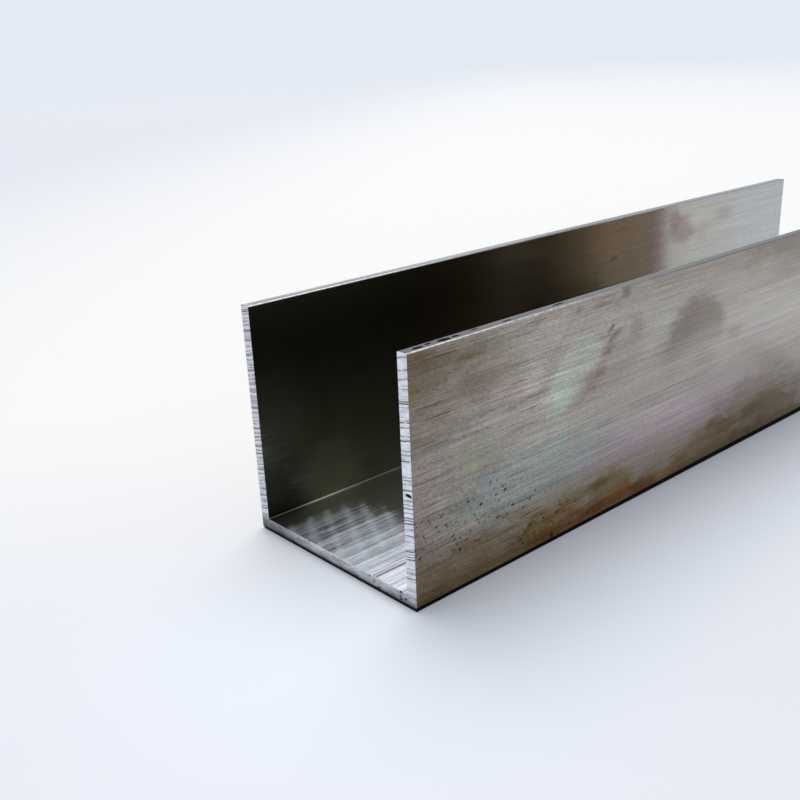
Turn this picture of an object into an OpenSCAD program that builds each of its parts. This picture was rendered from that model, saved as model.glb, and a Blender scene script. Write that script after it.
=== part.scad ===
// Square U-channel, a length sawn from extruded aluminium stock.
// The section lies in the X-Z plane with its web flat on the floor, and the length runs along Y.
// The origin is on the floor, at the middle of the web's underside.

/* [Section] */
// Outside width, across both flanges
outer_w = 50; // [20:0.5:120]
// Height of the flange tips above the underside of the web
flange_h = 50; // [10:0.5:120]
// Thickness of the web
web_t = 2.5; // [1:0.1:6]
// Thickness of each flange
flange_t = 2.5; // [1.2:0.1:6]

/* [Edges] */
// Radius of the outside corner where each flange meets the web
heel_r = 0.25; // [0.1:0.05:2]
// Radius of the inside corner where each flange meets the web
root_r = 0.3; // [0.1:0.05:5]
// Radius of the two long edges of each flange tip
tip_r = 0.25; // [0.1:0.05:1.2]

/* [Length] */
// Length that the stock is sawn to
cut_length = 210; // [20:1:6000]

/* [Hidden] */
$fn = 64;

// The clear gap between the flanges, and its depth below the flange tips
gap_w = outer_w - 2 * flange_t;
gap_h = flange_h - web_t;

// Edge radii as made, held to what the walls beside them leave room for
widest_tip_share = 0.48;
heel = min(heel_r, web_t, flange_t);
tip = min(tip_r, widest_tip_share * flange_t);
root = min(root_r, gap_w / 2, gap_h - tip);

// How far a cut runs past the face that it opens
overcut = 1;

// The sliver between a square corner at the origin and the arc that rounds it.
// It is taken away from an outside corner, and added in an inside one.
module corner_sliver(r) {
    difference() {
        square(r);
        translate([r, r]) circle(r);
    }
}

// The outline of one flange's tip, which rounds its two long edges
module tip_rounding() {
    for (side = [0, 1])
        translate([side * flange_t, flange_h])
            mirror([side, 0])
                mirror([0, 1])
                    corner_sliver(tip);
}

// The half of the section on the +X side, with all its radii
module half_section() {
    difference() {
        square([outer_w / 2, flange_h]);
        translate([-overcut, web_t]) square([gap_w / 2 + overcut, gap_h + overcut]);
        translate([outer_w / 2, 0]) mirror([1, 0]) corner_sliver(heel);
        translate([gap_w / 2, 0]) tip_rounding();
    }
    translate([gap_w / 2, web_t]) mirror([1, 0]) corner_sliver(root);
}

// The whole section, which is symmetric about the middle of the web
module section() {
    half_section();
    mirror([1, 0]) half_section();
}

// The channel: its section swept along the length, with both ends sawn square
module channel() {
    color("silver")
        rotate([90, 0, 0])
            linear_extrude(cut_length, center = true)
                section();
}

channel();
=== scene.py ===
"""A length of square aluminium U-channel: mill-finish skin, sawn ends, studio floor, light and camera."""
import math
from collections import namedtuple

import bpy
from mathutils import Matrix, Vector, noise


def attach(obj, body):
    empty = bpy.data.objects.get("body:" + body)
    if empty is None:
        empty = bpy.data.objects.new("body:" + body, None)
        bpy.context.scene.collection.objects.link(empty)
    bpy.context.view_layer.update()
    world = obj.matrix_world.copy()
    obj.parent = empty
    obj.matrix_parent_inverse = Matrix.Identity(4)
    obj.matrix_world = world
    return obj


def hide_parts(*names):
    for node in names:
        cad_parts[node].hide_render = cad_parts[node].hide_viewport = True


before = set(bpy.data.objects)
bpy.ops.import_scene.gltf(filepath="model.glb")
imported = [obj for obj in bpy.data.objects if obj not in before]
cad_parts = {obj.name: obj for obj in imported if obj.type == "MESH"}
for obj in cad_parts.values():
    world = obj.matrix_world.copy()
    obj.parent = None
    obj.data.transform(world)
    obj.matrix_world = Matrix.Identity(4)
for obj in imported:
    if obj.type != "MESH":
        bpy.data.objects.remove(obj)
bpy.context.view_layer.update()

MM = 0.001

# Section, in millimetres, as the solid has it
OUTER_W = 50
FLANGE_H = 50
WALL = 2.5
HEEL_R = 0.25
ROOT_R = 0.3
TIP_R = 0.25
LENGTH = 210
INNER_X = OUTER_W / 2 - WALL

# How finely the skin is divided, in millimetres or in counts
SKIN_STEP = 0.25
RING_STEP = 3.6
HEEL_STEPS = 6
CORNER_SIDE_STEPS = 7
TIP_ARC_STEPS = 6
WALL_STEPS = 8
SAW_CHAMFER = 0.10

# Fine relief: its depth in millimetres, its usual level, and the ripples about that level.
# A ripple has how often it comes across and along, per millimetre, its weight and its seed.
Relief = namedtuple("Relief", "depth level ripples")
Ripple = namedtuple("Ripple", "across along weight seed")
DIE_LINES = Relief(0.012, 0.5, (Ripple(0.55, 0.006, 0.5, 3.1), Ripple(1.6, 0.010, 0.6, 7.7)))
SAW_MARKS = Relief(0.035, 0.35, (Ripple(0.8, 0.05, 0.6, 11), Ripple(2.1, 0.08, 0.5, 16)))
SAW_TILT_DEG = 13

# A nick in the right flange's near end: where across and how high, its reach either way, and its depth
NICK_PLACE = (24.05, 23.3)
NICK_REACH = (0.95, 0.34)
NICK_DEPTH = 0.30

# Camera, read from the perspective of the photograph
VIEW_AZIMUTH = 47.8837
VIEW_ELEVATION = 21.5968
VIEW_ROLL = -2.0480
VIEW_DISTANCE = 171.712
VIEW_TARGET = (28.8394, -LENGTH / 2, 38.0510)
FOCAL_PIXELS = 1014.079
FRAME_PIXELS = 800
SENSOR_MM = 36
SHIFT = (-0.0300, 0.0325)
CLIP_START = 5


# The section and the skin

def arc(centre, radius, start_deg, end_deg, steps):
    """Points along an arc, without its first point."""
    points = []
    for i in range(1, steps + 1):
        angle = math.radians(start_deg + (end_deg - start_deg) * i / steps)
        points.append((centre[0] + radius * math.cos(angle), centre[1] + radius * math.sin(angle)))
    return points


def straight(start, end, steps):
    """Points along a straight line, without its first point."""
    points = []
    for i in range(1, steps + 1):
        t = i / steps
        points.append((start[0] + (end[0] - start[0]) * t, start[1] + (end[1] - start[1]) * t))
    return points


def half_runs():
    """The right half of the section as two runs of equal length, outside and inside, from web to tip."""
    half = OUTER_W / 2
    turn_x = INNER_X - ROOT_R
    turn_z = WALL + ROOT_R
    tip_z = FLANGE_H - TIP_R
    web_steps = round(turn_x / SKIN_STEP)
    flange_steps = round((tip_z - turn_z) / SKIN_STEP)

    outside = [(0, 0)] + straight((0, 0), (turn_x, 0), web_steps)
    outside += straight((turn_x, 0), (half - HEEL_R, 0), CORNER_SIDE_STEPS)
    outside += arc((half - HEEL_R, HEEL_R), HEEL_R, -90, 0, HEEL_STEPS)
    outside += straight((half, HEEL_R), (half, turn_z), CORNER_SIDE_STEPS)
    outside += straight((half, turn_z), (half, tip_z), flange_steps)
    outside += arc((half - TIP_R, tip_z), TIP_R, 0, 90, TIP_ARC_STEPS)

    inside = [(0, WALL)] + straight((0, WALL), (turn_x, WALL), web_steps)
    inside += arc((turn_x, turn_z), ROOT_R, -90, 0, HEEL_STEPS + 2 * CORNER_SIDE_STEPS)
    inside += straight((INNER_X, turn_z), (INNER_X, tip_z), flange_steps)
    inside += arc((INNER_X + TIP_R, tip_z), TIP_R, 180, 90, TIP_ARC_STEPS)
    return outside, inside


def section_rows():
    """Rows across the wall from the left tip to the right: each has WALL_STEPS + 1 points."""
    outside, inside = half_runs()
    outside = [(-x, z) for x, z in reversed(outside[1:])] + outside
    inside = [(-x, z) for x, z in reversed(inside[1:])] + inside
    return [[start] + straight(start, end, WALL_STEPS) for start, end in zip(outside, inside)]


def boundary(rows):
    """Row and column numbers of the section's outline, in order round it."""
    last = len(rows) - 1
    loop = [(i, 0) for i in range(last + 1)]
    loop += [(last, j) for j in range(1, WALL_STEPS)]
    loop += [(i, WALL_STEPS) for i in range(last, -1, -1)]
    loop += [(0, j) for j in range(WALL_STEPS - 1, 0, -1)]
    return loop


def outward_normals(points):
    """Unit normals of a closed outline that runs with its solid on the left."""
    normals = []
    count = len(points)
    for k in range(count):
        x0, z0 = points[k - 1]
        x1, z1 = points[(k + 1) % count]
        size = math.hypot(x1 - x0, z1 - z0)
        normals.append(((z1 - z0) / size, -(x1 - x0) / size))
    return normals


def relief_depth(relief, across, along, shift=0):
    """How deep a relief is at a place, in millimetres; another shift gives another pattern."""
    share = relief.level
    for ripple in relief.ripples:
        place = Vector((across * ripple.across, along * ripple.along, ripple.seed + shift))
        share += ripple.weight * noise.noise(place)
    return relief.depth * min(max(share, 0), 1)


def saw_depth(x, z, side):
    """How deep the saw has scored a sawn end at a place, in millimetres."""
    tilt = math.radians(SAW_TILT_DEG)
    across = z * math.cos(tilt) - x * math.sin(tilt)
    along = x * math.cos(tilt) + z * math.sin(tilt)
    return relief_depth(SAW_MARKS, across, along, side)


def nick(x, z):
    """How deep the nick is at a place on the near end, from 0 to 1."""
    radius = math.hypot((x - NICK_PLACE[0]) / NICK_REACH[0], (z - NICK_PLACE[1]) / NICK_REACH[1])
    return max(1 - radius ** 2, 0)


class Skin:
    """The channel as one closed mesh: rings along it, two sawn ends, and chamfered rims."""

    def __init__(self):
        self.rows = section_rows()
        self.loop = boundary(self.rows)
        self.outline = [self.rows[i][j] for i, j in self.loop]
        self.normals = outward_normals(self.outline)
        self.count = len(self.outline)
        self.travelled = self.distances_round()
        self.places = self.ring_places()
        self.vertices = []
        self.faces = []
        self.sheet = []
        self.kinds = []
        self.rims = []
        self.add_rings()
        for side in (-1, 1):
            self.add_end(side)

    def distances_round(self):
        """How far round the outline each point lies, from the middle of the underside."""
        travelled = [0]
        for k in range(self.count):
            step = math.dist(self.outline[k], self.outline[(k + 1) % self.count])
            travelled.append(travelled[-1] + step)
        middle = self.loop.index((len(self.rows) // 2, 0))
        total = travelled[-1]
        return [(t - travelled[middle]) % total for t in travelled[:-1]] + [total]

    def ring_places(self):
        """Places along the length at which the skin has a ring of points."""
        end = LENGTH / 2 - SAW_CHAMFER
        count = math.ceil(2 * end / RING_STEP)
        return [-end + 2 * end * i / count for i in range(count + 1)]

    def add_rings(self):
        """The rings of points, with the die lines in them, and the faces between."""
        for y in self.places:
            for k in range(self.count):
                depth = relief_depth(DIE_LINES, self.travelled[k], y)
                x = self.outline[k][0] - self.normals[k][0] * depth
                z = self.outline[k][1] - self.normals[k][1] * depth
                self.vertices.append((x * MM, y * MM, z * MM))
        for r in range(len(self.places) - 1):
            for k in range(self.count):
                self.add_skin_face(r, k)

    def add_skin_face(self, r, k):
        """One face between two rings; its corners are distances round and along the skin."""
        near = r * self.count + k
        beside = r * self.count + (k + 1) % self.count
        start = self.travelled[k]
        step = math.dist(self.outline[k], self.outline[(k + 1) % self.count])
        low = self.places[r] + LENGTH / 2
        high = self.places[r + 1] + LENGTH / 2
        corners = ((start, low), (start, high), (start + step, high), (start + step, low))
        self.add_face((near, near + self.count, beside + self.count, beside), corners, 0)

    def add_face(self, face, corners, kind):
        self.faces.append(face)
        self.sheet.append(corners)
        self.kinds.append(kind)

    def add_end(self, side):
        """One sawn end: its points, its faces, and the chamfer that joins it to the skin."""
        index = self.add_end_points(side)
        for i in range(len(self.rows) - 1):
            for j in range(WALL_STEPS):
                cells = ((i, j), (i, j + 1), (i + 1, j + 1), (i + 1, j))
                self.add_end_face([index[c] for c in cells], cells, side)
        ring = 0 if side < 0 else (len(self.places) - 1) * self.count
        for k in range(self.count):
            beside = (k + 1) % self.count
            here, there = self.loop[k], self.loop[beside]
            face = [index[here], index[there], ring + beside, ring + k]
            self.add_end_face(face, (here, there, there, here), side)
        self.rims.append({index[c] for c in self.loop})
        self.rims.append(set(range(ring, ring + self.count)))

    def add_end_face(self, face, cells, side):
        """One face of a sawn end, turned outward, with its corners on the map."""
        last = len(self.rows) - 1
        corners = [(i / last, j / WALL_STEPS) for i, j in cells]
        if side < 0:
            face, corners = face[::-1], corners[::-1]
        self.add_face(face, corners, side)

    def add_end_points(self, side):
        """The points of a sawn end, and their numbers by row and column."""
        normal_at = {c: self.normals[k] for k, c in enumerate(self.loop)}
        index = {}
        for i, row in enumerate(self.rows):
            start = inset(row[0], normal_at[(i, 0)])
            end = inset(row[-1], normal_at[(i, WALL_STEPS)])
            for j, (x, z) in enumerate([start] + straight(start, end, WALL_STEPS)):
                depth = saw_depth(x, z, side)
                if side < 0:
                    depth += NICK_DEPTH * nick(x, z)
                index[(i, j)] = len(self.vertices)
                self.vertices.append((x * MM, side * (LENGTH / 2 - depth) * MM, z * MM))
        return index


def inset(point, normal):
    """A point of the outline, moved into the solid by the chamfer."""
    return point[0] - normal[0] * SAW_CHAMFER, point[1] - normal[1] * SAW_CHAMFER


def add_object(name, data):
    """A new object in the scene."""
    made = bpy.data.objects.new(name, data)
    bpy.context.scene.collection.objects.link(made)
    return made


def make_channel():
    """The channel's object, with smooth faces, crisp rims and its maps."""
    skin = Skin()
    mesh = bpy.data.meshes.new("channel_stock")
    mesh.from_pydata(skin.vertices, [], skin.faces)
    mesh.update(calc_edges=True)
    mesh.shade_smooth()
    sharp = mesh.attributes.new("sharp_edge", "BOOLEAN", "EDGE")
    for edge in mesh.edges:
        a, b = edge.vertices
        sharp.data[edge.index].value = any(a in rim and b in rim for rim in skin.rims)
    for polygon, kind in zip(mesh.polygons, skin.kinds):
        polygon.material_index = abs(kind)
    add_maps(mesh, skin)
    return add_object("channel_stock", mesh)


# How the unrolled skin and the two ends share the square of the map
SKIN_SPAN = (0.975, 0.70)
MAP_MARGIN = 0.012
END_SPAN = (0.975, 0.08)
END_LOW = {-1: 0.745, 1: 0.865}


def add_maps(mesh, skin):
    """The map for baking, and the same map for the direction of the grain."""
    bake = mesh.uv_layers.new(name="OFBake")
    grain = mesh.uv_layers.new(name="grain")
    around = skin.travelled[-1]
    spot = 0
    for corners, kind in zip(skin.sheet, skin.kinds):
        for first, second in corners:
            if kind == 0:
                across = MAP_MARGIN + first / around * SKIN_SPAN[0]
                up = MAP_MARGIN + second / LENGTH * SKIN_SPAN[1]
            else:
                across = MAP_MARGIN + first * END_SPAN[0]
                up = END_LOW[kind] + second * END_SPAN[1]
            bake.data[spot].uv = (across, up)
            grain.data[spot].uv = (across, up)
            spot += 1
    mesh.uv_layers.active = bake


# Materials

# A range is where a change starts and stops, in millimetres or in a noise, and its values if not 0 and 1

WHITE = (1, 1, 1)

# The part of a spot's radius inside its soft rim
SPOT_CORE = 0.55

# A noise: how often it comes per millimetre along each axis, the number and strength of its finer layers,
# and the range that makes patches of it
Pattern = namedtuple("Pattern", "often detail roughness limits", defaults=(2, 0.5, None))


def grey(level):
    return (level, level, level)


class Nodes:
    """A node tree, with short calls for its usual nodes."""

    def __init__(self, tree):
        self.tree = tree

    def node(self, kind, **settings):
        made = self.tree.nodes.new(kind)
        for key, value in settings.items():
            setattr(made, key, value)
        return made

    def feed(self, value, socket):
        """Links a value to a socket, or sets it there if it is a plain number."""
        if isinstance(value, bpy.types.NodeSocket):
            self.tree.links.new(value, socket)
        else:
            socket.default_value = value

    def split(self, place):
        made = self.node("ShaderNodeSeparateXYZ")
        self.feed(place, made.inputs[0])
        return made.outputs

    def math(self, operation, a, b=0):
        made = self.node("ShaderNodeMath", operation=operation)
        self.feed(a, made.inputs[0])
        self.feed(b, made.inputs[1])
        return made.outputs[0]

    def vector(self, operation, a, b=(0, 0, 0)):
        made = self.node("ShaderNodeVectorMath", operation=operation)
        self.feed(a, made.inputs[0])
        self.feed(b, made.inputs[1])
        return made.outputs["Value" if operation in ("LENGTH", "DOT_PRODUCT") else "Vector"]

    def turned(self, place, axis, degrees):
        made = self.node("ShaderNodeVectorRotate", rotation_type=axis + "_AXIS")
        self.feed(place, made.inputs["Vector"])
        made.inputs["Angle"].default_value = math.radians(degrees)
        return made.outputs["Vector"]

    def cells(self, first, second, size):
        """Distance to the middle of the nearest flat cell, in cells, and its random number."""
        joined = self.node("ShaderNodeCombineXYZ")
        self.feed(self.math("DIVIDE", first, size[0]), joined.inputs[0])
        self.feed(self.math("DIVIDE", second, size[1]), joined.inputs[1])
        made = self.node("ShaderNodeTexVoronoi", voronoi_dimensions="2D", feature="F1")
        self.feed(joined.outputs[0], made.inputs["Vector"])
        return self.nearest(made)

    def lines(self, across, spacing):
        """Distance to the nearest of many uneven lines, in spacings, and its random number."""
        made = self.node("ShaderNodeTexVoronoi", voronoi_dimensions="1D", feature="F1")
        self.feed(self.math("DIVIDE", across, spacing), made.inputs["W"])
        return self.nearest(made)

    def nearest(self, cells):
        """The distance and the random number that a node of cells gives."""
        cells.inputs["Scale"].default_value = 1
        made = self.node("ShaderNodeSeparateColor")
        self.feed(cells.outputs["Color"], made.inputs[0])
        return cells.outputs["Distance"], made.outputs["Red"]

    def product(self, *values):
        result = values[0]
        for value in values[1:]:
            result = self.math("MULTIPLY", result, value)
        return result

    def without(self, value):
        return self.math("SUBTRACT", 1, value)

    def spread(self, value, amount):
        """Turns a value about a half into a factor about one."""
        return self.math("ADD", 1 - amount / 2, self.math("MULTIPLY", value, amount))

    def band(self, value, start, stop, low=0, high=1):
        """Eases from low to high as the value goes from start to stop."""
        made = self.node("ShaderNodeMapRange", interpolation_type="SMOOTHSTEP")
        self.feed(value, made.inputs["Value"])
        for name, number in (("From Min", start), ("From Max", stop), ("To Min", low), ("To Max", high)):
            self.feed(number, made.inputs[name])
        return made.outputs["Result"]

    def spot(self, distance, size):
        """A mask of a spot with a soft rim."""
        return self.band(distance, size, self.math("MULTIPLY", size, SPOT_CORE))

    def mix(self, share, a, b, blend="MIX"):
        made = self.node("ShaderNodeMix", data_type="RGBA", blend_type=blend)
        self.feed(share, made.inputs[0])
        self.feed(a if isinstance(a, bpy.types.NodeSocket) else (*a, 1), made.inputs[6])
        self.feed(b if isinstance(b, bpy.types.NodeSocket) else (*b, 1), made.inputs[7])
        return made.outputs[2]

    def tint(self, colour, factor):
        return self.mix(1, colour, factor, "MULTIPLY")

    def bump(self, height, distance):
        made = self.node("ShaderNodeBump")
        self.feed(height, made.inputs["Height"])
        made.inputs["Distance"].default_value = distance
        return made.outputs["Normal"]


class Paint(Nodes):
    """A material's nodes, with the place on the part in millimetres."""

    def __init__(self, name):
        self.material = bpy.data.materials.new(name)
        self.material.use_nodes = True
        super().__init__(self.material.node_tree)
        coords = self.node("ShaderNodeTexCoord")
        self.place = self.vector("MULTIPLY", coords.outputs["Object"], grey(1 / MM))
        self.x, self.y, self.z = self.split(self.place)
        self.from_end = self.math("ADD", self.y, LENGTH / 2)

    def set(self, name, value):
        """Gives a value to one of the shader's sockets."""
        self.feed(value, self.tree.nodes["Principled BSDF"].inputs[name])

    def radius(self, middle, reach, tilt=0):
        """Distance from a middle, in shares of a reach along each axis."""
        offset = self.vector("SUBTRACT", self.place, middle)
        if tilt:
            offset = self.turned(offset, "X", -tilt)
        return self.vector("LENGTH", self.vector("DIVIDE", offset, reach))

    def noise(self, pattern, place=None, colour=False):
        """A noise on the part, or at places that are given."""
        made = self.node("ShaderNodeTexNoise")
        place = self.place if place is None else place
        self.feed(self.vector("MULTIPLY", place, pattern.often), made.inputs["Vector"])
        made.inputs["Scale"].default_value = 1
        made.inputs["Detail"].default_value = pattern.detail
        made.inputs["Roughness"].default_value = pattern.roughness
        return made.outputs["Color" if colour else "Fac"]

    def patches(self, pattern, place=None):
        return self.band(self.noise(pattern, place), *pattern.limits)


# Tones of the metal as they look under white light, and copies of them painted with light and shade
OUTSIDE_METAL = (0.376, 0.347, 0.309)
# Painted shade inside, darkest by the near end; the left wall's far part painted lighter and bluer as a
# reflection of the pale backdrop
NEAR_INSIDE_SHADE = (0.203, 0.206, 0.160)
MIDDLE_INSIDE_SHADE = (0.350, 0.312, 0.256)
FAR_WALL_REFLECTION = (0.405, 0.400, 0.372)
FAR_END_REFLECTION = (0.432, 0.446, 0.462)
TIP_METAL = (0.600, 0.605, 0.610)
# Tip edges rubbed bright, partly a painted highlight
WORN_EDGE_HIGHLIGHT = (0.950, 0.910, 0.830)
WEB_METAL = (0.470, 0.470, 0.410)
SCUFF_GROUND = (0.410, 0.425, 0.475)
# The scuffed web painted bright and bluish as lit, with real scuffing
SCUFFED_LIT_METAL = (0.810, 0.905, 1.000)
SCUFFED_LIT_BLOOM = (0.860, 0.885, 1.000)
SAWN_METAL = (0.830, 0.850, 0.890)
SAWN_DULL = (0.560, 0.575, 0.620)
SAWN_LEFT = (0.700, 0.705, 0.735)
# The web's sawn end painted darker as shade, with a real dull mottle
SAWN_WEB_SHADE = (0.680, 0.695, 0.730)
SAWN_WEB_DULL_SHADE = (0.300, 0.300, 0.310)
SAW_LINE = (0.090, 0.090, 0.105)
# Near-black for dirt and for painted contact shadow
BLACK_DIRT_AND_SHADE = (0.009, 0.008, 0.007)

# A stain, or a patch of painted shade or reflection, lies on one face of a flange, at a distance from the
# near end and a depth below the flange tip.
# Its reach either way and the width of its edge are in millimetres, and its tilt is in degrees.
# Its tint multiplies the metal's own tone. With a fade, it goes from full to nothing between two depths.
STAIN_OR_SHADE_FIELDS = "along down half_along half_down edge tint share tilt fade"
StainOrShade = namedtuple("StainOrShade", STAIN_OR_SHADE_FIELDS, defaults=(1, 0, None))

OUTER_RIGHT_STAINS = (
    # The handled end, brown and dull
    StainOrShade(-4, 4, 31, 13, 14, (0.62, 0.57, 0.51)),
    StainOrShade(-4, 25, 28, 14, 12, (0.82, 0.79, 0.75)),
    StainOrShade(0, 3, 10, 5, 6, (0.80, 0.76, 0.68)),
    StainOrShade(21, 9, 8, 3.5, 5, (0.93, 0.89, 0.87), tilt=-18),
    StainOrShade(24.5, 14, 2.5, 1.2, 1.5, (0.98, 0.86, 0.96), 0.8),
    StainOrShade(29, 11, 6, 6, 6, (1.13, 1.13, 1.13)),
    StainOrShade(2, 41, 20, 4, 4.5, (0.90, 0.85, 0.78)),
    StainOrShade(0, 30, 6, 9, 4, (0.90, 0.80, 0.86), 0.9),
    # The wiped patch, pale green, and the paler metal below it
    StainOrShade(45.5, 14, 9, 5.6, 1.6, (1.10, 1.22, 1.21), 0.95, tilt=30),
    StainOrShade(39, 18.5, 5, 4, 2.5, (1.03, 1.12, 1.11), 0.8, tilt=30),
    StainOrShade(39.5, 25, 2.2, 7, 2.5, (1.00, 1.08, 1.06), 0.7),
    StainOrShade(31, 32.5, 22, 5.5, 4, (0.84, 0.97, 0.97)),
    StainOrShade(17, 24, 4, 3, 2.5, (0.98, 1.09, 0.93), 0.8),
    StainOrShade(20.5, 21.5, 2.5, 2, 2, (0.96, 1.08, 1.06), 0.7),
    StainOrShade(20, 30, 3, 3, 2.5, (0.95, 0.94, 1.06), 0.8),
    StainOrShade(45.5, 29, 2, 1.6, 1.2, (1.04, 0.92, 0.94), 0.8),
    # Dark ragged edge beside the wiped patch
    StainOrShade(56, 11.5, 3.8, 1.2, 2.6, (0.76, 0.73, 0.68), 0.6, tilt=34),
    StainOrShade(50.5, 17.2, 4.6, 2.2, 3, (0.72, 0.62, 0.59), 0.9, tilt=30),
    StainOrShade(47, 21.5, 4, 1.5, 3, (0.96, 0.86, 0.86), 0.8, tilt=10),
    StainOrShade(60, 15.5, 8, 4.5, 5, (0.88, 0.85, 0.83), tilt=20),
    StainOrShade(55.8, 8.2, 0.8, 0.3, 0.6, (0.40, 0.37, 0.34), 0.9, tilt=20),
    StainOrShade(57.2, 9.9, 1.8, 0.35, 0.8, (0.58, 0.55, 0.51), 0.8, tilt=26),
    StainOrShade(55, 12.6, 2, 0.4, 0.9, (0.62, 0.59, 0.55), 0.8, tilt=16),
    StainOrShade(41, 6.5, 4.5, 0.5, 1.4, (0.86, 0.78, 0.75), 0.8, tilt=46),
    StainOrShade(36, 14.5, 4.5, 0.5, 1.4, (0.88, 0.81, 0.78), 0.6, tilt=46),
    # Dried splashes
    StainOrShade(88, 19, 11.5, 12, 4.4, (0.62, 0.585, 0.565), 0.95, fade=(13, 22)),
    StainOrShade(79, 16.5, 8, 4, 4, (0.88, 0.85, 0.83), 0.9, tilt=16),
    StainOrShade(75, 10.5, 3.5, 2.5, 3, (1.04, 1.09, 1.06), 0.8, tilt=10),
    StainOrShade(86.5, 11, 4, 2.4, 2, (1.00, 0.92, 0.93), 0.8),
    StainOrShade(94.5, 11, 2.2, 2.4, 2, (1.00, 1.03, 0.93), 0.8),
    StainOrShade(92, 23, 5, 2.5, 3, (0.90, 0.88, 0.86), 0.9, tilt=-20),
    StainOrShade(65, 9, 2.2, 2.4, 2.4, (0.80, 0.77, 0.74), 0.9),
    StainOrShade(104.5, 19.5, 3, 1.6, 2.4, (0.82, 0.79, 0.77), 0.9),
    StainOrShade(120, 29, 14, 3, 5, (0.80, 0.77, 0.74), 0.7, tilt=-24),
    StainOrShade(118, 20, 24, 7.5, 8, (1.19, 1.19, 1.20)),
    StainOrShade(47, 34.5, 5, 3, 4, (1.10, 1.12, 1.12), 0.9),
    StainOrShade(112, 6, 56, 17, 10, (0.955, 0.985, 1.025)),
    # Mauve bloom below the middle
    StainOrShade(86, 36, 37, 5, 5, (1.03, 0.90, 1.03)),
    StainOrShade(100, 36.5, 3.5, 1.8, 2.5, (0.86, 0.82, 0.86), 0.8),
    StainOrShade(78, 34.5, 14, 5, 6, (1.16, 1.16, 1.15)),
    # Brown, olive and rust along the foot
    StainOrShade(70, 54, 170, 15.5, 8, (0.82, 0.75, 0.64)),
    StainOrShade(14, 54, 46, 13, 5, (0.82, 0.75, 0.64)),
    StainOrShade(70, 54, 170, 8, 4, (0.71, 0.60, 0.44)),
    StainOrShade(35, 46.5, 5.5, 4.5, 2.5, (0.84, 0.80, 0.52), 0.9),
    StainOrShade(32, 43.4, 1.8, 0.8, 1.2, (0.55, 0.53, 0.34), 0.9, tilt=30),
    StainOrShade(41, 46, 6.5, 3, 2.5, (0.92, 0.68, 0.42), 0.9, tilt=10),
    StainOrShade(45, 42.8, 7, 1.8, 2.4, (0.82, 0.74, 0.62), 0.9),
    StainOrShade(58.5, 44.5, 7.5, 4.2, 2.5, (0.74, 0.62, 0.40), 0.9),
    StainOrShade(60, 47.3, 6.5, 2.4, 2.5, (1.10, 0.67, 0.31), 0.9),
    StainOrShade(49, 48.8, 6, 1.2, 1.8, (1.00, 0.62, 0.36), 0.9),
    StainOrShade(54, 41.8, 4.5, 1.1, 1.6, (0.62, 0.60, 0.40), 0.9),
    StainOrShade(69, 48.2, 5, 1.8, 2, (0.70, 0.46, 0.28), 0.9),
    StainOrShade(76, 47.6, 6, 1.6, 2, (1.12, 0.97, 0.66), 0.9),
    StainOrShade(98, 53, 19, 12, 3, (0.78, 0.68, 0.49), 0.9),
    StainOrShade(105, 42.6, 15, 1.9, 2.6, (0.74, 0.67, 0.56), 0.9),
    StainOrShade(123, 54, 19, 15.5, 3, (0.76, 0.68, 0.52), 0.9),
    StainOrShade(119, 40, 19, 7, 5, (0.76, 0.70, 0.62)),
    # Smears under the tip
    StainOrShade(140, 0, 28, 9, 8, (0.74, 0.71, 0.68)),
    StainOrShade(102, 0, 56, 4.2, 4, (0.84, 0.80, 0.77)),
    StainOrShade(112, 0.8, 5, 1, 1.4, (0.86, 0.76, 0.86), 0.8),
    StainOrShade(53, 2.4, 3.2, 0.7, 1.6, (0.74, 0.62, 0.60), 0.8),
    StainOrShade(45.5, 2, 1.6, 0.6, 1.2, (0.74, 0.62, 0.62), 0.8),
    StainOrShade(61, 1, 1.2, 0.7, 1, (0.60, 0.55, 0.52), 0.8),
    StainOrShade(14.5, 3.8, 2.6, 0.8, 1.6, (0.80, 0.78, 0.52), 0.8),
    StainOrShade(1.5, 1.5, 4.5, 2.2, 2, (0.80, 0.74, 0.54), 0.8),
    StainOrShade(0.8, 7, 1.4, 1.8, 1.6, (0.94, 0.95, 0.66), 0.9),
)

INNER_LEFT_SHADE_AND_STAINS = (
    # Painted shade and light by the near end: a dark corner at the foot, lighter patches above it, and a
    # darker upper band
    StainOrShade(0, 45, 10, 12, 8, (0.31, 0.32, 0.32)),
    StainOrShade(18, 42, 7, 8, 9, (1.60, 1.64, 1.55)),
    StainOrShade(2, 24, 9, 11, 9, (1.50, 1.50, 1.65)),
    StainOrShade(20, -4, 70, 22, 16, (0.66, 0.65, 0.58)),
    # Painted shade, darker and browner, across the middle
    StainOrShade(97, 20, 16, 40, 16, (0.58, 0.54, 0.44)),
    # A warm patch near the top
    StainOrShade(120, 5, 10, 5, 6, (1.10, 0.92, 0.79), 0.9),
    # A purple band of painted reflection
    StainOrShade(139, 20, 4.5, 36, 6, (0.96, 0.82, 0.98), 0.9),
    # Spots near the far end
    StainOrShade(152, 8, 6, 4, 4, (0.72, 0.62, 0.65), 0.9, tilt=-20),
    StainOrShade(148, 5, 2.5, 3.5, 2, (0.82, 0.74, 0.78), 0.9),
    StainOrShade(163, 10, 4, 3, 3, (0.90, 0.88, 0.84), 0.9),
    StainOrShade(175, 6, 4.5, 1.8, 2.5, (0.76, 0.77, 0.72), 0.8),
    StainOrShade(120, 11, 1.2, 0.4, 0.9, (0.55, 0.50, 0.46), 0.8),
)

# How far the edge of a stain or shade patch wanders, in millimetres, and the share of that in the smallest
# one
EDGE_WANDER = 12
WANDER_LEAST = 0.35
WANDER = Pattern((0.2, 0.10, 0.30), 7, 0.74)

# How far a stain or shade patch reaches through the wall, in millimetres
STAIN_OR_SHADE_THICKNESS = 1.5


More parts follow.
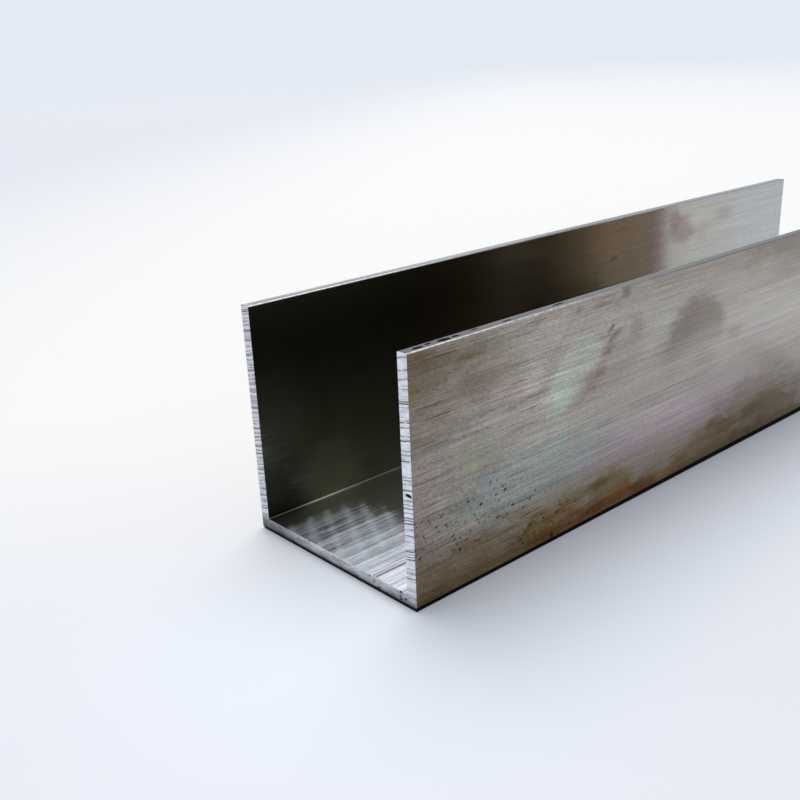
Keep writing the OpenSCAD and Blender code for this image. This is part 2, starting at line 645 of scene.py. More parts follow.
def edge_wander(paint):
    """How far the edge of a stain or shade patch strays at each place, in millimetres either way."""
    rough = paint.noise(WANDER)
    return paint.product(paint.math("SUBTRACT", rough, 0.5), EDGE_WANDER)


def stain_or_shade_share(paint, stain_or_shade, face_x, wander):
    """How much of a stain or shade patch covers each place, with an edge that wanders."""
    middle = (face_x, stain_or_shade.along - LENGTH / 2, FLANGE_H - stain_or_shade.down)
    reach = (STAIN_OR_SHADE_THICKNESS, stain_or_shade.half_along, stain_or_shade.half_down)
    radius = paint.radius(middle, reach, stain_or_shade.tilt)
    shorter = min(stain_or_shade.half_along, stain_or_shade.half_down)
    outside = paint.product(paint.math("SUBTRACT", radius, 1), shorter)
    stray = paint.product(wander, min(1, shorter / EDGE_WANDER + WANDER_LEAST))
    beyond = paint.math("ADD", outside, stray)
    share = paint.band(beyond, stain_or_shade.edge / 2, -stain_or_shade.edge / 2, 0, stain_or_shade.share)
    if stain_or_shade.fade:
        full, gone = (FLANGE_H - depth for depth in stain_or_shade.fade)
        share = paint.product(share, paint.band(paint.z, gone, full))
    return share


def add_stains_and_shade(paint, film, stains_and_shade, face_x, wander):
    """Lays the stains and painted shade of one flange face on the film."""
    for stain_or_shade in stains_and_shade:
        share = stain_or_shade_share(paint, stain_or_shade, face_x, wander)
        film = paint.mix(share, film, paint.tint(film, stain_or_shade.tint))
    return film


# Layers of specks: cells in millimetres, rarity, largest size in cells, darkness, and their patch
Specks = namedtuple("Specks", "cell rarity largest dark patch")
SPECK_LAYERS = (
    Specks((2.1, 0.75), 0.66, 0.34, 0.88, StainOrShade(13, 36, 24, 7, 8, WHITE)),
    Specks((1.3, 0.7), 0.62, 0.28, 0.66, StainOrShade(8, 36, 26, 9, 12, WHITE)),
    Specks((1.1, 0.8), 0.80, 0.25, 0.3, StainOrShade(8, 20, 34, 26, 20, WHITE)),
    Specks((1.8, 0.8), 0.50, 0.38, 0.75, StainOrShade(38, 45.5, 13, 4, 3, WHITE)),
)
SPECK_SLANT_DEG = 28
SPECK_SHAKE = Pattern((1.6, 1.6, 1.6), 2, 0.6)
SPECK_RAGGED = (0, 0.8, 0.8)


def specks(paint, wander):
    """A mask of small dark specks, crowded by the foot of the near end."""
    shake = paint.noise(SPECK_SHAKE, colour=True)
    place = paint.vector("ADD", paint.place, paint.vector("MULTIPLY", shake, SPECK_RAGGED))
    turned = paint.split(paint.turned(place, "X", -SPECK_SLANT_DEG))
    mask = 0
    for layer in SPECK_LAYERS:
        distance, number = paint.cells(turned[1], turned[2], layer.cell)
        patch = stain_or_shade_share(paint, layer.patch, OUTER_W / 2, wander)
        size = paint.product(paint.band(number, layer.rarity, 1), layer.largest, patch)
        mask = paint.math("MAXIMUM", paint.product(paint.spot(distance, size), layer.dark), mask)
    return mask


# Marks on the right flange's tip: distance from the near end, place across, and reach either way
TIP_MARKS = (
    (3.7, 23.8, 1.2, 0.50),
    (6.4, 23.5, 0.7, 0.35),
    (10, 23.8, 1.5, 0.60),
    (12.9, 23.7, 0.9, 0.40),
    (18, 23.3, 0.9, 0.25),
    (26, 23.9, 1.2, 0.25),
    (41, 23.5, 1.6, 0.30),
)
TIP_MARK_THICKNESS = 0.3
TIP_MARK_EDGE = Pattern((1.5, 1, 0), 3, 0.6)
TIP_MARK_RIM = (1.62, 1.45)


def tip_marks(paint):
    """A mask of the dark marks on the right flange's tip."""
    ragged = paint.noise(TIP_MARK_EDGE)
    marked = 0
    for along, across, half_along, half_across in TIP_MARKS:
        middle = (across, along - LENGTH / 2, FLANGE_H)
        radius = paint.radius(middle, (half_across, half_along, TIP_MARK_THICKNESS))
        mark = paint.band(paint.math("ADD", radius, ragged), *TIP_MARK_RIM)
        marked = paint.math("MAXIMUM", mark, marked)
    return marked


# The scuffed part of the web, painted bright as light falling in at the open near end: where it fades
# along, and across toward the left wall's painted shade, and its bright marks
SCUFF_END = (27, 13)
SCUFF_LIGHT_SIDE = (2, 24)
SCUFF_GROUND_SIDE = (3, 15)
SCUFF_RAGGED = 5
SCUFF_MARKS = Pattern((2.6, 0.05, 2.6), 4, 0.8)
SCUFF_MARK_RANGE = (0.36, 0.62, 0.10, 1.35)
SCUFF_LANES = Pattern((0.55, 0.01, 0.55), 1, limits=(0.36, 0.60, 0.55, 1.35))

# Lines along the scuffing, dark and bright: spacing in millimetres, width in spacings, and strengths
ScuffLines = namedtuple("ScuffLines", "spacing width strengths")
SCORES = ScuffLines(4.6, 0.075, (0.1, 0.9, 0.15, 0.75))
SHINES = ScuffLines(1.6, 0.10, (0.35, 1, 0, 1.3))

# Bright bars across the scuffing
CROSS_BAR_PITCH = 4.8
CROSS_BAR_SLANT = 0.55
CROSS_BAR_SIDE = (34, 12)
CROSS_BAR_DRIFT = Pattern((0.4, 0.2, 0.4), 3)
CROSS_BAR_BLUR = 2.4
CROSS_BAR_SHARP = 2.6
CROSS_BAR_RANGE = (0.68, 1.80)


def cross_bars(paint, from_left):
    """Faint bright bars across the scuffing, as factors about one."""
    slant = paint.math("ADD", paint.from_end, paint.product(from_left, CROSS_BAR_SLANT))
    blur = paint.product(paint.noise(CROSS_BAR_DRIFT), CROSS_BAR_BLUR)
    wave = paint.math("SINE", paint.product(paint.math("ADD", slant, blur), math.tau / CROSS_BAR_PITCH))
    half_wave = paint.math("ADD", 0.5, paint.product(wave, 0.5))
    peak = paint.math("POWER", half_wave, CROSS_BAR_SHARP)
    low, high = CROSS_BAR_RANGE
    bars = paint.math("ADD", low, paint.product(peak, high - low))
    return paint.mix(paint.band(from_left, *CROSS_BAR_SIDE), WHITE, bars)


def scuff_lines(paint, across, kind):
    """A mask of thin lines along the web, each with its own strength."""
    distance, number = paint.lines(across, kind.spacing)
    return paint.product(paint.spot(distance, kind.width), paint.band(number, *kind.strengths))


def web_scuff_and_light(paint, web):
    """Masks of the scuffing by the near end: its dull ground, and its bright marks painted as light from
    the open end.
    """
    from_left = paint.math("ADD", paint.x, INNER_X)
    marks = paint.noise(SCUFF_MARKS)
    scored = scuff_lines(paint, paint.x, SCORES)
    shiny = scuff_lines(paint, paint.math("ADD", paint.x, LENGTH), SHINES)
    edge = paint.math("ADD", paint.from_end, paint.product(marks, SCUFF_RAGGED))
    scuffed_and_lit = paint.product(web, paint.band(edge, *SCUFF_END))
    lanes = paint.patches(SCUFF_LANES)
    bright = paint.product(paint.band(marks, *SCUFF_MARK_RANGE), lanes)
    bright = paint.product(paint.math("ADD", bright, shiny), paint.without(scored))
    ground = paint.product(scuffed_and_lit, paint.band(from_left, *SCUFF_GROUND_SIDE))
    # Painted light fading toward the shade of the left wall
    lit_side = paint.product(scuffed_and_lit, paint.band(from_left, *SCUFF_LIGHT_SIDE))
    return ground, paint.product(lit_side, bright, cross_bars(paint, from_left))


# The flange tips' long edges, rubbed bright and painted as a highlight on the corner, toward the near end
# and in patches
EDGE_WEAR = (0.27, 0.15)
EDGE_WEAR_ALONG = (35, 70, 1, 0.2)
EDGE_WEAR_PATCHES = (0.35, 0.6, 0.45, 1)


def worn_edges_and_highlights(paint, across, grain):
    """A mask of the flange tips' long edges, rubbed bright and painted as a highlight."""
    from_middle = paint.math("ABSOLUTE", paint.math("SUBTRACT", across, OUTER_W / 2 - WALL / 2))
    from_side = paint.math("SUBTRACT", WALL / 2, from_middle)
    from_corner = paint.math("ADD", from_side, paint.math("SUBTRACT", FLANGE_H, paint.z))
    worn = paint.product(paint.band(from_corner, *EDGE_WEAR), paint.band(grain, *EDGE_WEAR_PATCHES))
    return paint.product(worn, paint.band(paint.from_end, *EDGE_WEAR_ALONG))


# Short lengthwise scratches: cells along and across, widths in cells, least strength, and tints
SCRATCH_CELL = (24, 0.95)
SCRATCH_WIDTHS = (0.25, 1, 0, 0.24)
SCRATCHED_LEAST = 0.2
DARK_SCRATCH = (0.62, 0.61, 0.60)
BRIGHT_SCRATCH = (1.25, 1.25, 1.25)


def scratches(paint, start):
    """A mask of short tapered scratches; another start gives other scratches."""
    round_it = paint.math("ADD", paint.x, paint.z)
    distance, number = paint.cells(paint.math("ADD", paint.y, start), round_it, SCRATCH_CELL)
    return paint.spot(distance, paint.band(number, *SCRATCH_WIDTHS))


# Where the metal's tones change, along from the near end and toward the left wall: the painted shade
# inside, the painted reflection on the left wall's far part, the web's tone and the scuffing's bloom
NEAR_TO_MIDDLE = (35, 80)
MIDDLE_TO_FAR = (126, 158)
FAR_TO_END = (150, 200)
LEFT_WALL = (1.5 - INNER_X, 0.5 - INNER_X)
WEB_METAL_ALONG = (90, 40)
SCUFF_BLOOM = Pattern((0.16, 0.10, 0.16), limits=(0.38, 0.62))


def metal_with_painted_light(paint, inside, web, tip, scuff_ground, scuff_and_light):
    """The metal's tones: outside; inside from near to far, painted as shade, with a painted reflection on
    the left wall's far part; web, tips, and scuffing painted bright as lit.
    """
    # Painted shade inside, and a painted reflection on the left wall's far part
    inside_shade = paint.mix(paint.band(paint.from_end, *NEAR_TO_MIDDLE), NEAR_INSIDE_SHADE, MIDDLE_INSIDE_SHADE)
    far_reflection = paint.mix(paint.band(paint.from_end, *FAR_TO_END), FAR_WALL_REFLECTION, FAR_END_REFLECTION)
    on_far = paint.product(paint.band(paint.from_end, *MIDDLE_TO_FAR), paint.band(paint.x, *LEFT_WALL))
    metal = paint.mix(inside, OUTSIDE_METAL, paint.mix(on_far, inside_shade, far_reflection))
    near_web = paint.product(web, paint.band(paint.from_end, *WEB_METAL_ALONG))
    metal = paint.mix(near_web, metal, WEB_METAL)
    metal = paint.mix(tip, metal, TIP_METAL)
    metal = paint.mix(scuff_ground, metal, SCUFF_GROUND)
    # The scuffing painted bright as light
    scuffed_and_lit = paint.mix(paint.patches(SCUFF_BLOOM), SCUFFED_LIT_METAL, SCUFFED_LIT_BLOOM)
    return paint.mix(scuff_and_light, metal, scuffed_and_lit)


# Streaks, grain and blotches, and how strongly each shows on clean metal and on rubbed metal
FINE_STREAKS = Pattern((3.2, 0.022, 3.2), 3, 0.8)
BROAD_STREAKS = Pattern((0.7, 0.010, 0.7))
FINE_SHARE = 0.8
STREAK_STRENGTH = (1, 1.7)
MEDIUM_STREAKS = Pattern((1.3, 0.018, 1.3))
MEDIUM_STRENGTH = (0.2, 0.6)
GRAIN = Pattern((2.2, 0.9, 2.6), 4, 0.75)
GRAIN_STRENGTH = (0.6, 1.4)
BLOTCHES = Pattern((0.3, 0.13, 0.36), 4, 0.62)
BLOTCH_STRENGTH = 0.9

# Where the metal is rubbed and handled, from the near end, and the share of that inside
RUBBED_ALONG = (10, 130, 1, 0)
HANDLED_ALONG = (12, 46, 1, 0.15)
RUBBED_INSIDE = 0.3


def rub(paint, metal, inside, streak, grain):
    """Streaks and scratches in the metal's tone, stronger outside and at the handled end."""
    outside = paint.band(inside, 0, 1, 1, RUBBED_INSIDE)
    rubbed = paint.product(paint.band(paint.from_end, *RUBBED_ALONG), outside)
    handled = paint.product(paint.band(paint.from_end, *HANDLED_ALONG), outside)
    blotch = paint.noise(BLOTCHES)
    metal = paint.tint(metal, paint.mix(handled, WHITE, paint.spread(blotch, BLOTCH_STRENGTH)))
    medium = paint.noise(MEDIUM_STREAKS)
    layers = ((streak, STREAK_STRENGTH), (medium, MEDIUM_STRENGTH), (grain, GRAIN_STRENGTH))
    for layer, (clean, worn) in layers:
        metal = paint.tint(metal, paint.mix(rubbed, paint.spread(layer, clean), paint.spread(layer, worn)))
    scratched = paint.math("MAXIMUM", rubbed, SCRATCHED_LEAST)
    dark = paint.product(scratches(paint, 0), scratched)
    metal = paint.mix(dark, metal, paint.tint(metal, DARK_SCRATCH))
    bright = paint.product(scratches(paint, LENGTH), scratched)
    return paint.mix(bright, metal, paint.tint(metal, BRIGHT_SCRATCH))


# Zones of the skin: across the section, above the floor, and along from the near end
INSIDE_ACROSS = (INNER_X + 0.7, INNER_X + 0.3)
INSIDE_ABOVE = (WALL - 1.5, WALL - 0.9)
WEB_ABOVE = (WALL + 0.5, WALL + 0.1)
TIP_ABOVE = (FLANGE_H - 0.25, FLANGE_H - 0.05)
RIGHT_HALF = (0, 1)
ROOT_ACROSS = (INNER_X - 0.45, INNER_X - 0.25)
ROOT_ABOVE = (WALL + 0.45, WALL + 0.25)
ROOT_ALONG = (8, 30)


def skin_zones(paint, across):
    """Masks of the inside, the web's upper face and the flange tips."""
    inside = paint.product(paint.band(across, *INSIDE_ACROSS), paint.band(paint.z, *INSIDE_ABOVE))
    web = paint.product(inside, paint.band(paint.z, *WEB_ABOVE))
    return inside, web, paint.band(paint.z, *TIP_ABOVE)


# A film of dirt on the right tip, painted shade in the roots, and how the tips darken along the length
RIGHT_TIP_FILM = (0.26, 0.232, 0.208)
FAR_TIP_RANGE = (55, 120, 1, 0.45)
ROOT_SHADE = (0.42, 0.42, 0.40)


def dirt_and_shade_film(paint, across, inside, tip, wander):
    """What the dirt and painted shade multiply the metal's tone by: stains, painted shade and reflection
    on the inner left wall, a film on the right tip, the tips' darkening along the length, and painted
    shade in the roots.
    """
    film = add_stains_and_shade(paint, WHITE, OUTER_RIGHT_STAINS, OUTER_W / 2, wander)
    # Painted shade and reflection, with a few stains, on the inner left wall
    film = add_stains_and_shade(paint, film, INNER_LEFT_SHADE_AND_STAINS, -INNER_X, wander)
    film = paint.mix(paint.product(tip, paint.band(paint.x, *RIGHT_HALF)), film, RIGHT_TIP_FILM)
    film = paint.mix(tip, film, paint.tint(film, paint.band(paint.from_end, *FAR_TIP_RANGE)))
    # Painted shade in the roots
    root = paint.product(paint.band(across, *ROOT_ACROSS), paint.band(paint.z, *ROOT_ABOVE), inside)
    root = paint.product(root, paint.band(paint.from_end, *ROOT_ALONG))
    return paint.mix(root, film, paint.tint(film, ROOT_SHADE))


# A painted contact shadow, partly dirt: the black line along the right flange's foot, which rises along
# the length
FOOT_SHADOW_LINE = (0.74, 0.48)
FOOT_SIDE = (24.3, 24.8)
FOOT_RISE = (20, 110, 0, 0.45)
BLACKENING_SHARE = 0.96


def skin_blackening(paint, wander):
    """A mask of the blackest places: dirt in specks and tip marks, and the painted contact shadow, partly
    dirt, along the right flange's foot.
    """
    blackened = paint.math("MAXIMUM", specks(paint, wander), tip_marks(paint))
    height = paint.math("SUBTRACT", paint.z, paint.band(paint.from_end, *FOOT_RISE))
    # Painted contact shadow, partly dirt, along the right flange's foot
    foot_shadow = paint.product(paint.band(height, *FOOT_SHADOW_LINE), paint.band(paint.x, *FOOT_SIDE))
    return paint.math("MAXIMUM", blackened, foot_shadow)


# Roughness of the skin by zone, and what the streaks multiply it by
FAR_INSIDE_ROUGH = 0.15
NEAR_INSIDE_ROUGH = 0.23
INSIDE_ROUGH_ALONG = (70, 20)
OUTSIDE_ROUGH = 0.24
SCUFF_ROUGH = 0.44
SCUFF_ROUGH_RANGE = (0, 0.25)
STREAK_ROUGH_LOW = 1.3
STREAK_ROUGH_HIGH = 0.75
BLACKENED_ROUGH = 1
SKIN_ANISOTROPY = 0.6
STREAK_HEIGHT = 0.01


def skin_roughness(paint, inside, scuff_and_light, streak, blackened):
    """How rough the skin is: smooth inside, dull where scuffed, and matt under dirt and under the painted
    contact shadow.
    """
    near = paint.band(paint.from_end, *INSIDE_ROUGH_ALONG)
    rough = paint.mix(near, grey(FAR_INSIDE_ROUGH), grey(NEAR_INSIDE_ROUGH))
    rough = paint.mix(inside, grey(OUTSIDE_ROUGH), rough)
    rough = paint.mix(paint.band(scuff_and_light, *SCUFF_ROUGH_RANGE), rough, grey(SCUFF_ROUGH))
    rough = paint.tint(rough, paint.mix(streak, grey(STREAK_ROUGH_LOW), grey(STREAK_ROUGH_HIGH)))
    return paint.mix(blackened, rough, grey(BLACKENED_ROUGH))


def mill_finish_and_painted_light():
    """Extruded skin: streaks along it, dull and specked where handled, stained where wet; painted shade
    inside and in the roots, a painted reflection on the left wall's far part, painted light on the scuffed
    web, painted highlights on the tip edges, and a painted contact shadow along the right flange's foot.
    """
    paint = Paint("mill_finish_and_painted_light")
    across = paint.math("ABSOLUTE", paint.x)
    inside, web, tip = skin_zones(paint, across)
    fine = paint.noise(FINE_STREAKS)
    broad = paint.noise(BROAD_STREAKS)
    streak = paint.math("ADD", paint.product(fine, FINE_SHARE), paint.product(broad, 1 - FINE_SHARE))
    grain = paint.noise(GRAIN)
    wander = edge_wander(paint)
    scuff_ground, scuff_and_light = web_scuff_and_light(paint, web)

    metal = metal_with_painted_light(paint, inside, web, tip, scuff_ground, scuff_and_light)
    metal = rub(paint, metal, inside, streak, grain)
    colour = paint.tint(metal, dirt_and_shade_film(paint, across, inside, tip, wander))
    # Tip edges rubbed bright, partly a painted highlight
    colour = paint.mix(worn_edges_and_highlights(paint, across, grain), colour, WORN_EDGE_HIGHLIGHT)
    # Dirt, and the painted contact shadow along the right flange's foot
    blackened = skin_blackening(paint, wander)
    colour = paint.mix(paint.product(blackened, BLACKENING_SHARE), colour, BLACK_DIRT_AND_SHADE)
    paint.set("Base Color", colour)
    paint.set("Metallic", 1)
    paint.set("Roughness", skin_roughness(paint, inside, scuff_and_light, streak, blackened))
    paint.set("Anisotropic", SKIN_ANISOTROPY)
    tangent = paint.node("ShaderNodeTangent", direction_type="UV_MAP", uv_map="grain")
    paint.set("Tangent", tangent.outputs[0])
    paint.set("Normal", paint.bump(fine, STREAK_HEIGHT * MM))
    return paint.material


# Saw lines on the ends: usual spacing in millimetres, width in spacings, rarity and darkness
SawLines = namedtuple("SawLines", "spacing width rarity darkest")
RIGHT_LINES = (SawLines(1.75, 0.115, 0, 0.95), SawLines(0.8, 0.20, 0.55, 0.85))
LEFT_LINES = (SawLines(0.75, 0.24, 0, 0.95), SawLines(0.45, 0.28, 0.45, 0.8))

# A line's full core and its faintest strength, as shares, and the breaks in the lines
LINE_CORE = 0.3
LINE_FAINTEST = 0.5
LINE_BREAKS = Pattern((0.7, 0.1, 0.9), limits=(0.34, 0.46, 0.3, 1))


def saw_lines(paint, across, layers):
    """A mask of thin dark lines, uneven and partly broken."""
    mask = 0
    for layer in layers:
        distance, number = paint.lines(across, layer.spacing)
        strength = paint.band(number, layer.rarity, 1, LINE_FAINTEST * layer.darkest, layer.darkest)
        kept = paint.math("GREATER_THAN", number, layer.rarity)
        line = paint.band(distance, layer.width, LINE_CORE * layer.width)
        mask = paint.math("MAXIMUM", paint.product(line, strength, kept), mask)
    return paint.product(mask, paint.patches(LINE_BREAKS))


# How far the saw's path wobbles, in millimetres
SAW_WOBBLE = Pattern((0.5, 0.1, 0.3))
SAW_WOBBLE_REACH = 0.6


def flange_lines(paint, turned, on_left, on_web):
    """A mask of the saw lines on the two flanges' ends."""
    wobble = paint.noise(SAW_WOBBLE, turned)
    across = paint.math("ADD", paint.split(turned)[2], paint.product(wobble, SAW_WOBBLE_REACH))
    right_lines = paint.product(saw_lines(paint, across, RIGHT_LINES), paint.without(on_left))
    left_lines = paint.product(saw_lines(paint, across, LEFT_LINES), on_left)
    return paint.product(paint.math("ADD", right_lines, left_lines), paint.without(on_web))


# Pits in the web's end: cells in millimetres, rarity, largest size in cells, and growth to the right
PIT_CELL = (1.3, 0.8)
PIT_RARITY = 0.55
PIT_LARGEST = 0.42
PIT_CROWD = (0, 20, 0.45, 1)
PIT_SHARE = 0.95


def pits(paint):
    """A mask of small pits, larger toward the right."""
    distance, number = paint.cells(paint.x, paint.z, PIT_CELL)
    crowd = paint.band(paint.x, *PIT_CROWD)
    return paint.spot(distance, paint.product(paint.band(number, PIT_RARITY, 1), crowd, PIT_LARGEST))


# The web's end: its mottle, painted darker as shade, its painted highlight along the upper rim, its
# painted shade toward the floor, where it is duller at the sides, and its painted contact shadow
WEB_MOTTLE = Pattern((0.45, 0.1, 1.2), 4, 0.65, (0.58, 0.34, 0, 0.7))
RIM_FROM = (WALL - 0.35, WALL - 0.1)
RIM_TO = (WALL + 0.3, WALL + 0.05)
RIM_ACROSS = (22.3, 21.8)
RIM_SHARE = 0.7
LOW_SHADE_TINT = (0.50, 0.49, 0.49)
LOW_SHADE_RANGE = (0.3, 2)
LEFT_TINT = (0.40, 0.40, 0.42)
LEFT_TINT_RANGE = (-20, -6)
RIGHT_TINT = (0.78, 0.78, 0.79)
RIGHT_TINT_RANGE = (21, 13)
END_FOOT_SHADOW_LINE = (0.62, 0.36)
NEAR_END_ONLY = (2, 1)


def web_end(paint, colour, on_web):
    """The web's sawn face: mottled and painted darker as shade, with a painted highlight at its upper rim,
    pitted, and with painted shade and a painted contact shadow toward the floor.
    """
    # The web's end painted darker than the flanges' ends, as shade
    mottled = paint.mix(paint.patches(WEB_MOTTLE), SAWN_WEB_SHADE, SAWN_WEB_DULL_SHADE)
    colour = paint.mix(on_web, colour, mottled)
    # Painted highlight along the upper rim
    rim = paint.product(paint.band(paint.z, *RIM_FROM), paint.band(paint.z, *RIM_TO))
    rim = paint.product(rim, paint.band(paint.x, *RIM_ACROSS), RIM_SHARE)
    colour = paint.mix(rim, colour, SAWN_METAL)
    colour = paint.mix(paint.product(pits(paint), on_web, PIT_SHARE), colour, BLACK_DIRT_AND_SHADE)
    # Painted shade toward the floor
    colour = paint.tint(colour, paint.mix(paint.band(paint.z, *LOW_SHADE_RANGE), LOW_SHADE_TINT, WHITE))
    left_tint = paint.mix(paint.band(paint.x, *LEFT_TINT_RANGE), LEFT_TINT, WHITE)
    right_tint = paint.mix(paint.band(paint.x, *RIGHT_TINT_RANGE), RIGHT_TINT, WHITE)
    colour = paint.mix(on_web, colour, paint.tint(paint.tint(colour, left_tint), right_tint))
    # Painted contact shadow, partly dirt, at the foot of the near end
    foot_shadow = paint.product(paint.band(paint.z, *END_FOOT_SHADOW_LINE), paint.band(paint.from_end, *NEAR_END_ONLY))
    return paint.mix(paint.product(foot_shadow, BLACKENING_SHARE), colour, BLACK_DIRT_AND_SHADE)


# Where the black in the nick ends, in shares of its reach, and how far it goes in from the end
NICK_RIM = (1.1, 0.8)
NICK_BLACK_DEPTH = 1


def nick_black(paint):
    """A mask that blackens the nick."""
    middle = (NICK_PLACE[0], -LENGTH / 2, NICK_PLACE[1])
    reach = (NICK_REACH[0], NICK_BLACK_DEPTH, NICK_REACH[1])
    return paint.band(paint.radius(middle, reach), *NICK_RIM)


# The sawn faces: where the left flange's and the web's begin, and their scores and dull patches
LEFT_END = (-19, -21)
WEB_END = (3.2, 2.4)
SAW_SCORES = Pattern((0.25, 0.05, 6), 2, 0.6)
SAW_SCORE_DARK = (0.44, 0.32, 0, 0.4)
SAW_SCORE_ROUGH = (0.3, 0.7, 0.55, 0.38)
SAWN_PATCHES = Pattern((0.35, 0.05, 0.9), 3, 0.65, (0.38, 0.68, 0, 0.7))
SAW_LINE_HEIGHT = 0.04


def sawn_end():
    """Sawn face: bright, with thin dark lines from the saw's teeth and a blackened nick; the web's end
    painted darker as shade, with a painted highlight at its rim, pits, and a painted contact shadow at its
    foot.
    """
    paint = Paint("sawn_end")
    turned = paint.turned(paint.place, "Y", SAW_TILT_DEG)
    on_left = paint.band(paint.x, *LEFT_END)
    on_web = paint.band(paint.z, *WEB_END)
    lines = flange_lines(paint, turned, on_left, on_web)
    scored = paint.noise(SAW_SCORES, turned)

    colour = paint.mix(paint.patches(SAWN_PATCHES, turned), SAWN_METAL, SAWN_DULL)
    colour = paint.mix(on_left, colour, SAWN_LEFT)
    colour = paint.mix(paint.band(scored, *SAW_SCORE_DARK), colour, SAW_LINE)
    colour = paint.mix(lines, colour, SAW_LINE)
    colour = web_end(paint, colour, on_web)
    paint.set("Base Color", paint.mix(nick_black(paint), colour, BLACK_DIRT_AND_SHADE))
    paint.set("Metallic", 1)
    paint.set("Roughness", paint.band(scored, *SAW_SCORE_ROUGH))
    paint.set("Normal", paint.bump(paint.without(lines), SAW_LINE_HEIGHT * MM))
    return paint.material


# Floor, light and camera

# A round of pale paper, painted with light and shade: a pool of light behind the part, less bright in
# front and at the far left, lighter and bluish close at its right as fill light in its shadow, and a
# painted shadow under it. Far out it fades into the pale horizon.
FLOOR_RADIUS = 3000
FLOOR_FADE = (250, 2800)
FLOOR_LEVEL = -0.3
FLOOR_SIDES = 96
PAPER_ROUGH = 0.6
LIT_POOL_TONE = (0.985, 0.955, 0.910)
PAPER_TONE = (0.862, 0.866, 0.903)
PAPER_AWAY = (-0.74, 0.67, 0)
PAPER_RANGE = (-130, 30)
DIM_LEFT_TONE = (0.770, 0.780, 0.820)
LEFT_ACROSS = (0.82, 0.57, 0)
LEFT_RANGE = (-560, -160)
SHADOW_FILL_TONE = (0.915, 0.945, 1.000)
CLOSE_RANGE = (75, 20)
CLOSE_SIDE = (-30, 10)
SHADE_TONE = (0.02, 0.02, 0.02)
SHADE_INSET = 0.05


def make_floor():
    """The floor under the part, kept out of the part itself."""
    mesh = bpy.data.meshes.new("floor")
    turns = [math.tau * i / FLOOR_SIDES for i in range(FLOOR_SIDES)]
    radius = FLOOR_RADIUS * MM
    rim = [(radius * math.cos(t), radius * math.sin(t), FLOOR_LEVEL * MM) for t in turns]
    mesh.from_pydata(rim, [], [range(FLOOR_SIDES)])
    floor = add_object("floor", mesh)
    mesh.materials.append(floor_paper())


def under_part(paint):
    """A mask of the floor that the part covers."""
    across = paint.math("LESS_THAN", paint.math("ABSOLUTE", paint.x), OUTER_W / 2 - SHADE_INSET)
    along = paint.math("LESS_THAN", paint.math("ABSOLUTE", paint.y), LENGTH / 2 - SHADE_INSET)
    return paint.product(across, along)


def floor_paper():
    """The floor's tones, with a painted pool of light, a dimmer far left, painted fill light close at the
    part's right and a painted shadow under the part, and its fade far out.
    """
    paint = Paint("floor_paper")
    away = paint.vector("DOT_PRODUCT", paint.place, PAPER_AWAY)
    # A painted pool of light behind the part, dimmer in front
    paper = paint.mix(paint.band(away, *PAPER_RANGE), PAPER_TONE, LIT_POOL_TONE)
    across = paint.vector("DOT_PRODUCT", paint.place, LEFT_ACROSS)
    # Dimmer at the far left
    paper = paint.mix(paint.band(across, *LEFT_RANGE), DIM_LEFT_TONE, paper)
    half_size = (OUTER_W / 2, LENGTH / 2, 0)
    beyond = paint.vector("SUBTRACT", paint.vector("ABSOLUTE", paint.place), half_size)
    from_part = paint.vector("LENGTH", paint.vector("MAXIMUM", beyond))
    shadow_fill = paint.product(paint.band(from_part, *CLOSE_RANGE), paint.band(paint.x, *CLOSE_SIDE))
    # Painted fill light, lighter and bluer, in the part's shadow close at its right
    paper = paint.mix(shadow_fill, paper, SHADOW_FILL_TONE)
    # Painted shadow under the part
    paint.set("Base Color", paint.mix(under_part(paint), paper, SHADE_TONE))
    out = paint.band(paint.vector("LENGTH", paint.place), *FLOOR_FADE)
    paint.set("Alpha", paint.without(out))
    paint.set("Roughness", PAPER_ROUGH)
    return paint.material


# The world's light: where it comes from, its rise from the dark side to the bright, and the pale horizon
LIGHT_TOWARDS = (-0.6, 0.1, 0.8)
LIGHT_RANGE = (-0.1, 0.6, 0.39, 0.78)
WORLD_TONE = (0.865, 0.915, 1)
HORIZON_RANGE = (0.32, 0.08)
HORIZON_STRENGTH = 0.90


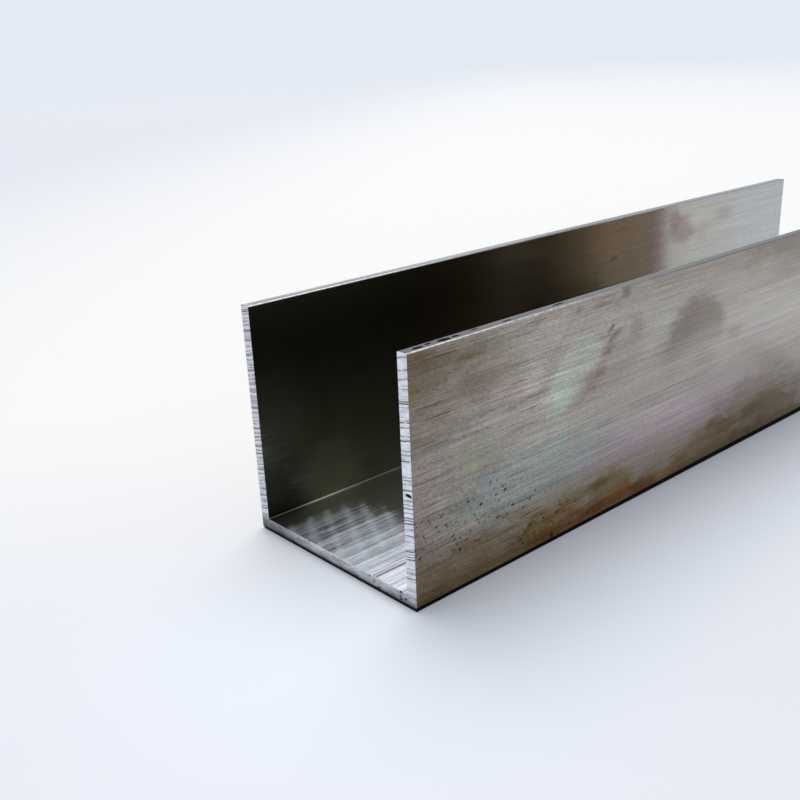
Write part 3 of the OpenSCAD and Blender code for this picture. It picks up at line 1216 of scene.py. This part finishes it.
def make_world():
    """Soft light all round, brighter from one side and at the horizon."""
    world = bpy.data.worlds.new("studio")
    bpy.context.scene.world = world
    world.use_nodes = True
    nodes = Nodes(world.node_tree)
    direction = nodes.node("ShaderNodeTexCoord").outputs["Generated"]
    lit = nodes.vector("DOT_PRODUCT", direction, Vector(LIGHT_TOWARDS).normalized())
    blend = nodes.node("ShaderNodeMix")
    nodes.feed(nodes.band(nodes.split(direction)["Z"], *HORIZON_RANGE), blend.inputs[0])
    nodes.feed(nodes.band(lit, *LIGHT_RANGE), blend.inputs[2])
    nodes.feed(HORIZON_STRENGTH, blend.inputs[3])
    background = world.node_tree.nodes["Background"]
    nodes.feed((*WORLD_TONE, 1), background.inputs["Color"])
    nodes.feed(blend.outputs[0], background.inputs["Strength"])


# The lamp: the way to it, its distance and side in metres, its brightness and its tone
KEY_FROM = (-0.36, 0.26, 0.90)
KEY_DISTANCE = 5
KEY_SIDE = 4.4
KEY_RADIANCE = 2
KEY_TONE = (1, 0.985, 0.955)


def make_key():
    """One large soft box."""
    data = bpy.data.lights.new("soft_box", "AREA")
    data.shape = "SQUARE"
    data.size = KEY_SIDE
    data.energy = KEY_RADIANCE * math.pi * KEY_SIDE ** 2
    data.color = KEY_TONE
    lamp = add_object("soft_box", data)
    away = Vector(KEY_FROM).normalized()
    lamp.location = away * KEY_DISTANCE
    lamp.rotation_euler = away.to_track_quat("Z", "Y").to_euler()


def make_camera():
    """The camera, aimed at its target and rolled a little."""
    azimuth = math.radians(VIEW_AZIMUTH)
    elevation = math.radians(VIEW_ELEVATION)
    roll = math.radians(VIEW_ROLL)
    back = Vector((math.sin(azimuth) * math.cos(elevation), -math.cos(azimuth) * math.cos(elevation),
                   math.sin(elevation)))
    level = Vector((math.cos(azimuth), math.sin(azimuth), 0))
    rise = back.cross(level)
    right = math.cos(roll) * level + math.sin(roll) * rise
    up = -math.sin(roll) * level + math.cos(roll) * rise
    data = bpy.data.cameras.new("camera")
    data.sensor_width = SENSOR_MM
    data.lens = FOCAL_PIXELS / FRAME_PIXELS * SENSOR_MM
    data.shift_x, data.shift_y = SHIFT
    data.clip_start = CLIP_START * MM
    camera = add_object("camera", data)
    turn = Matrix((right, up, back)).transposed().to_4x4()
    camera.matrix_world = Matrix.Translation((Vector(VIEW_TARGET) + back * VIEW_DISTANCE) * MM) @ turn
    bpy.context.scene.camera = camera


# The scene

piece = make_channel()
piece.data.materials.append(mill_finish_and_painted_light())
piece.data.materials.append(sawn_end())
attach(piece, "root")
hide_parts("channel")
make_floor()
make_world()
make_key()
make_camera()
bpy.context.scene.view_settings.view_transform = "Standard"
